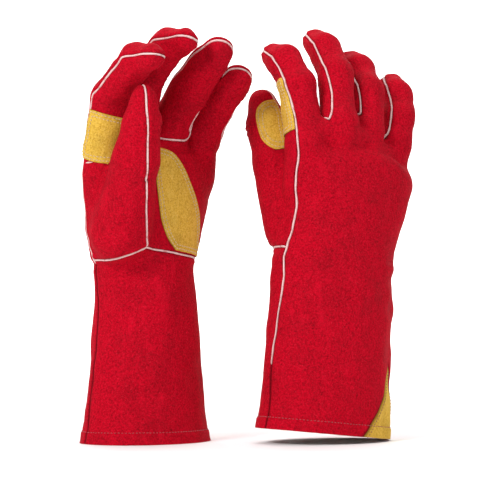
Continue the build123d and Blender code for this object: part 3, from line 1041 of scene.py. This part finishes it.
def suede(name, dark, middle, light, speckle, sheen):
    """Split leather: napped and mottled, with painted shade darkening it in the seam grooves."""
    material, tree, shader = new_material(name)
    place = node(tree, "ShaderNodeTexCoord").outputs["Object"]
    nap = noise_node(tree, place, 620, 5, 0.72)
    colour = ramp_node(tree, nap, [(0.3, dark), (0.5, middle), (0.7, light)])
    cloud = noise_node(tree, place, 38, 5, 0.62)
    shade = ramp_node(tree, cloud, [(0.3, (0.66, 0.66, 0.66)), (0.52, (1, 1, 1)),
                                    (0.72, (1.0, 1.0, 1.0))])
    colour = mix_node(tree, "MULTIPLY", 0.55, colour, shade)
    streak = noise_node(tree, place, 120, 4, 0.6, stretch=(1, 1, 0.35))
    mask = map_node(tree, streak, 0.56, 0.74, 0, 0.5)
    colour = mix_node(tree, "MIX", mask, colour, light)
    fleck = noise_node(tree, place, 1500, 2, 0.5)
    mask = map_node(tree, fleck, 0.6, 0.72, 0, 0.55)
    colour = mix_node(tree, "MIX", mask, colour, speckle)
    pore = noise_node(tree, place, 950, 2, 0.5)
    mask = map_node(tree, pore, 0.36, 0.26, 0, 0.6)
    colour = mix_node(tree, "MIX", mask, colour, dark)
    # painted shade: the colour is pulled towards a very dark red within about 2 mm of a seam, where the
    # groove lies in shade
    seam = node(tree, "ShaderNodeAttribute", attribute_name="seam").outputs["Fac"]
    painted_seam_shade = map_node(tree, seam, 0.5, 1.9, 0.75, 0)
    colour = mix_node(tree, "MIX", painted_seam_shade, colour, tuple(0.35 * c for c in dark))
    tree.links.new(colour, shader.inputs["Base Color"])
    rough = map_node(tree, cloud, 0.3, 0.7, 0.78, 0.95)
    tree.links.new(rough, shader.inputs["Roughness"])
    shader.inputs["Specular IOR Level"].default_value = 0.07
    shader.inputs["Sheen Weight"].default_value = sheen
    shader.inputs["Sheen Roughness"].default_value = 0.45
    shader.inputs["Sheen Tint"].default_value = (*light, 1)
    wrinkle = noise_node(tree, place, 170, 5, 0.65)
    normal = bump_node(tree, wrinkle, 0.35, 0.0012)
    normal = bump_node(tree, nap, 0.45, 0.0005, normal)
    normal = bump_node(tree, fleck, 0.3, 0.0002, normal)
    tree.links.new(normal, shader.inputs["Normal"])
    return material


def piping(name, dark, light):
    """Narrow leather strip, split here and there to its paler core."""
    material, tree, shader = new_material(name)
    place = node(tree, "ShaderNodeTexCoord").outputs["Object"]
    patchy = noise_node(tree, place, 260, 4, 0.7)
    colour = ramp_node(tree, patchy, [(0.34, dark), (0.46, light), (0.7, light)])
    fine = noise_node(tree, place, 1400, 3, 0.6)
    tint = map_node(tree, fine, 0.3, 0.7, 0.0, 0.35)
    colour = mix_node(tree, "MIX", tint, colour, dark)
    tree.links.new(colour, shader.inputs["Base Color"])
    rough = map_node(tree, patchy, 0.3, 0.7, 0.5, 0.75)
    tree.links.new(rough, shader.inputs["Roughness"])
    shader.inputs["Sheen Weight"].default_value = 0.15
    tree.links.new(bump_node(tree, fine, 0.4, 0.0002), shader.inputs["Normal"])
    return material


def yarn(name, dark, light, scale=1800):
    """Twisted thread or brushed cotton."""
    material, tree, shader = new_material(name)
    place = node(tree, "ShaderNodeTexCoord").outputs["Object"]
    fuzz = noise_node(tree, place, scale, 4, 0.65)
    tree.links.new(ramp_node(tree, fuzz, [(0.3, dark), (0.65, light)]),
                   shader.inputs["Base Color"])
    broad = noise_node(tree, place, scale / 6, 3, 0.5)
    tree.links.new(map_node(tree, broad, 0.3, 0.7, 0.75, 0.95), shader.inputs["Roughness"])
    shader.inputs["Sheen Weight"].default_value = 0.4
    tree.links.new(bump_node(tree, fuzz, 0.6, 0.0004), shader.inputs["Normal"])
    return material


# ---------------------------------------------------------------- the gloves

def hem_turnup(glove, skin, material):
    """The hem's leather, folded in under the edge and up inside the cuff."""
    level = HEM_LEVEL[glove.side]
    line = resample(skin.lines(skin.plain[:, 2] - level, level=0.6)[0], 2.0, 1)[:-1]
    out = skin.outward(line)
    out[:, 2] = 0
    out /= np.linalg.norm(out, axis=1)[:, None]
    rings = []
    for inward, up in ((0.0, 0.6), (0.35, 0.12), (1.0, 0.0), (2.6, 0.0), (3.2, 0.5),
                       (3.5, 2.5), (3.5, HEM + 3)):
        ring = line - out * inward
        ring[:, 2] = level + up
        rings.append(ring)
    count = len(line)
    faces = []
    for r in range(len(rings) - 1):
        for i in range(count):
            k = (i + 1) % count
            faces.append((r * count + i, r * count + k, (r + 1) * count + k, (r + 1) * count + i))
    turn = np.cross(line[1] - line[0], out[0])[2] > 0
    faces = faces if turn else [f[::-1] for f in faces]
    piece = new_piece(f"{glove.side}_hem_turnup", np.concatenate(rings), faces, glove, material)
    layer = piece.data.attributes.new("seam", "FLOAT", "POINT")
    layer.data.foreach_set("value", np.full(len(piece.data.vertices), 20, np.float32))
    return place_piece(piece, glove)


def quilting(values):
    """Height of a patch where two rows of stitches pull it down inside its edge."""
    first, second = (np.minimum(bump(values + inset, 1.0), 1) for inset in STITCH_INSETS)
    middle = bump(values + sum(STITCH_INSETS) / 2, 1.2)
    return 0.45 * middle - 0.45 * first - 0.45 * second


def patch_stitches(glove, skin, values):
    """Rows of stitches inside a patch's edge."""
    rows = []
    for number, inset in enumerate(STITCH_INSETS):
        for line in skin.lines(values, level=-inset, shortest=12):
            line = line + skin.outward(line) * (PATCH_THICK - 0.35)
            rows.append(stitch_row(glove, line, 3.0, 2.3, 0.42, seed=number))
    return rows


def add_stitches(name, glove, rows, material, digit=None):
    if not rows:
        return
    piece = new_piece(name, *joined(rows), glove, material)
    place_piece(piece, glove, digit)


def build_glove(side, finish):
    glove = Glove(side)
    skin = Skin(glove)
    middles, palm = skin.middles, skin.side > 0
    hand = skin.zone < 0
    above = glove.wrist_field(middles) > 0
    gusset = hand & (glove.gusset_field(middles) < 0)
    mound = hand & palm & above & (glove.mound_field(middles) > 0) & (middles[:, 2] < 240)
    panels = {
        "back_panel": hand & ~palm & ~gusset,
        "cuff_panel": hand & palm & ~above & ~gusset,
        "palm_panel": hand & palm & above & ~mound,
        "thumb_mound": mound,
        "cuff_gusset": gusset,
    }
    for name, mask in panels.items():
        slot = "yellow_leather" if name == "cuff_gusset" else "red_leather"
        piece = skin.panel(f"{side}_{name}_leather", mask, finish[slot])
        place_piece(piece, glove, nodes=[name])
    piece = skin.panel(f"{side}_hand_lining", hand, finish["cotton_lining"], -LINING_IN, True)
    place_piece(piece, glove, nodes=["lining"])
    hem_turnup(glove, skin, finish["red_leather"])

    patches = {None: palm_patch, "index": index_patch, "thumb": thumb_patch}
    for i, name in enumerate(DIGITS):
        here = skin.zone == i
        for part, mask in (("back", here & ~palm), ("front", here & palm)):
            piece = skin.panel(f"{side}_{name}_{part}_leather", mask, finish["red_leather"])
            place_piece(piece, glove, name, [f"{name}_{part}"])
        piece = skin.panel(
            f"{side}_{name}_inner", here, finish["cotton_lining"], -LINING_IN, True)
        place_piece(piece, glove, name, [f"{name}_lining"])
    for name, field in patches.items():
        mask = field(glove, middles) < 0
        values = field(glove, skin.plain)
        label = "palm" if name is None else name
        piece = skin.panel(f"{side}_{label}_patch_leather", mask, finish["yellow_leather"],
                           PATCH_THICK, rim=PATCH_THICK + 0.6, quilt=quilting(values))
        place_piece(piece, glove, name, [f"{label}_patch"])
        rows = patch_stitches(glove, skin, values)
        add_stitches(f"{side}_{label}_patch_stitches", glove, rows, finish["thread"], name)

    # piping in the seams
    welts = {}
    plain = skin.plain
    on_hand = glove.zone(plain) < 0
    low = np.where(plain[:, 0] > 0, WELT_LOW[side], 150)
    side_values = glove.side_field(plain)
    near = np.sort([glove.digits[n].distance(plain) for n in DIGITS], axis=0)
    touching = (near[1] - near[0] < 2.5) & (plain[:, 2] > max(WEBS[side]) + 3)
    for line in skin.lines(side_values, (plain[:, 2] > low) & ~touching, shortest=14):
        width = 0.9 + (WELT_WIDTH - 0.9) * smoothstep(
            resample(line, 1.0, WELT_ROUNDS)[:, 2], 100, 135)
        add_welt(welts, glove, line, 3, width=width)
    on_palm_side = on_hand & (side_values > 0)
    for line in skin.lines(glove.wrist_field(plain), on_palm_side, shortest=14):
        add_welt(welts, glove, line, 13)
    keep = on_palm_side & (plain[:, 2] > 165) & (plain[:, 2] < 221) & (plain[:, 1] > 20)
    for line in skin.lines(glove.mound_field(plain), keep, shortest=14):
        add_welt(welts, glove, line, 23)
    add_welt(welts, glove, skin.base_welt, 33)
    height, start = BARTACK[side]
    bar = [plain[on_hand & (plain[:, 0] > 35) & (np.abs(plain[:, 2] - height) < 2)
                 & (np.abs(side_values - start - step) < 1)].mean(0) for step in (0, 2, 4, 6, 7.5)]
    add_welt(welts, glove, np.array(bar), 43, width=1.3)
    for zone, parts in welts.items():
        digit = None if zone < 0 else DIGITS[zone]
        label = digit or "hand"
        piece = new_piece(f"{side}_{label}_piping", *joined(parts), glove, finish["welt_piping"])
        nodes = [f"{label}_welt"] if digit else ["hand_welts"]
        place_piece(piece, glove, digit, nodes)

    # sewn lines in the cuff
    level = plain[:, 2] - HEM_LEVEL[side]
    rows = [stitch_row(glove, line, 3.0, 2.2, 0.3, 0.0)
            for line in skin.lines(level, on_hand, level=HEM, shortest=40)]
    add_stitches(f"{side}_hem_stitches", glove, rows, finish["red_thread"])
    rows = [stitch_row(glove, line, 3.0, 2.2, 0.32, 0.1)
            for line in skin.lines(glove.gusset_field(plain), on_hand, level=-2.2, shortest=30)]
    add_stitches(f"{side}_gusset_stitches", glove, rows, finish["dark_thread"])


WELT_LOW = {"left": 150, "right": 60}
BARTACK = {"left": (236, 8), "right": (250, 3.5)}  # height, and how far in from the seam
STITCH_INSETS = (1.7, 4.6)  # in from a patch's edge
LINING_IN = 2.0

finish = {
    "red_leather": suede("red_suede", (0.15, 0.0005, 0.005), (0.44, 0.0006, 0.011),
                         (0.62, 0.002, 0.020), (0.70, 0.03, 0.055), 0.03),
    "yellow_leather": suede("yellow_suede", (0.40, 0.20, 0.018), (0.67, 0.40, 0.050),
                            (0.78, 0.52, 0.095), (0.85, 0.66, 0.24), 0.05),
    "welt_piping": piping("pale_piping", (0.62, 0.20, 0.20), (0.83, 0.62, 0.60)),
    "cotton_lining": yarn("fleece_lining", (0.45, 0.42, 0.35), (0.74, 0.71, 0.62), 700),
    "thread": yarn("cream_thread", (0.45, 0.30, 0.12), (0.75, 0.60, 0.36)),
    "red_thread": yarn("red_thread", (0.20, 0.01, 0.02), (0.42, 0.03, 0.05)),
    "dark_thread": yarn("dark_thread", (0.10, 0.01, 0.01), (0.22, 0.03, 0.03)),
}
for side in THUMB_SIDE:
    build_glove(side, finish)


# ---------------------------------------------------------------- studio

def studio():
    low, high = (Vector(v) for v in cad_box)
    middle = (low + high) / 2
    mesh = bpy.data.meshes.new("backdrop")
    # floor, curved up into a wall that stands further off than any camera round the gloves
    profile = [(-8.0, 0), (5.4, 0)]
    profile += [(5.4 + 0.8 * math.sin(a), 0.8 - 0.8 * math.cos(a))
                for a in np.linspace(0, math.pi / 2, 13)[1:]]
    profile.append((6.2, 5.0))
    points = [(x, y, z) for y, z in profile for x in (-8.0, 8.0)]
    faces = [(2 * i, 2 * i + 1, 2 * i + 3, 2 * i + 2) for i in range(len(profile) - 1)]
    mesh.from_pydata(points, [], faces)
    mesh.polygons.foreach_set("use_smooth", [True] * len(faces))
    backdrop = bpy.data.objects.new("backdrop", mesh)
    bpy.context.scene.collection.objects.link(backdrop)
    material, tree, shader = new_material("pale_paper")
    shader.inputs["Base Color"].default_value = (0.93, 0.93, 0.93, 1)
    shader.inputs["Roughness"].default_value = 0.9
    mesh.materials.append(material)

    bpy.context.scene.view_settings.view_transform = "Standard"
    world = bpy.data.worlds.new("studio")
    bpy.context.scene.world = world
    world.use_nodes = True
    world.node_tree.nodes["Background"].inputs["Color"].default_value = (1, 1, 1, 1)
    world.node_tree.nodes["Background"].inputs["Strength"].default_value = 0.42
    for name, place, size, power in (
            ("key", (-1.1, -1.5, 1.3), 0.6, 30),
            ("fill", (1.6, -1.2, 0.6), 1.4, 8),
            ("top", (0.1, 0.2, 1.7), 1.2, 12),
            ("back_wall", (0, 3.8, 2.6), 4.5, 230)):
        data = bpy.data.lights.new(name, "AREA")
        data.size, data.energy = size, power
        light = bpy.data.objects.new(name, data)
        light.location = place
        aim = middle if name != "back_wall" else Vector((0, 4.6, 0))
        light.rotation_euler = (aim - light.location).to_track_quat("-Z", "Y").to_euler()
        bpy.context.scene.collection.objects.link(light)

    data = bpy.data.cameras.new("camera")
    data.lens, data.sensor_width = 229, 36
    camera = bpy.data.objects.new("camera", data)
    camera.location = (middle.x - 0.005, -2.6, middle.z - 0.006)
    camera.rotation_euler = (math.pi / 2, 0, 0)
    bpy.context.scene.collection.objects.link(camera)
    bpy.context.scene.camera = camera


studio()
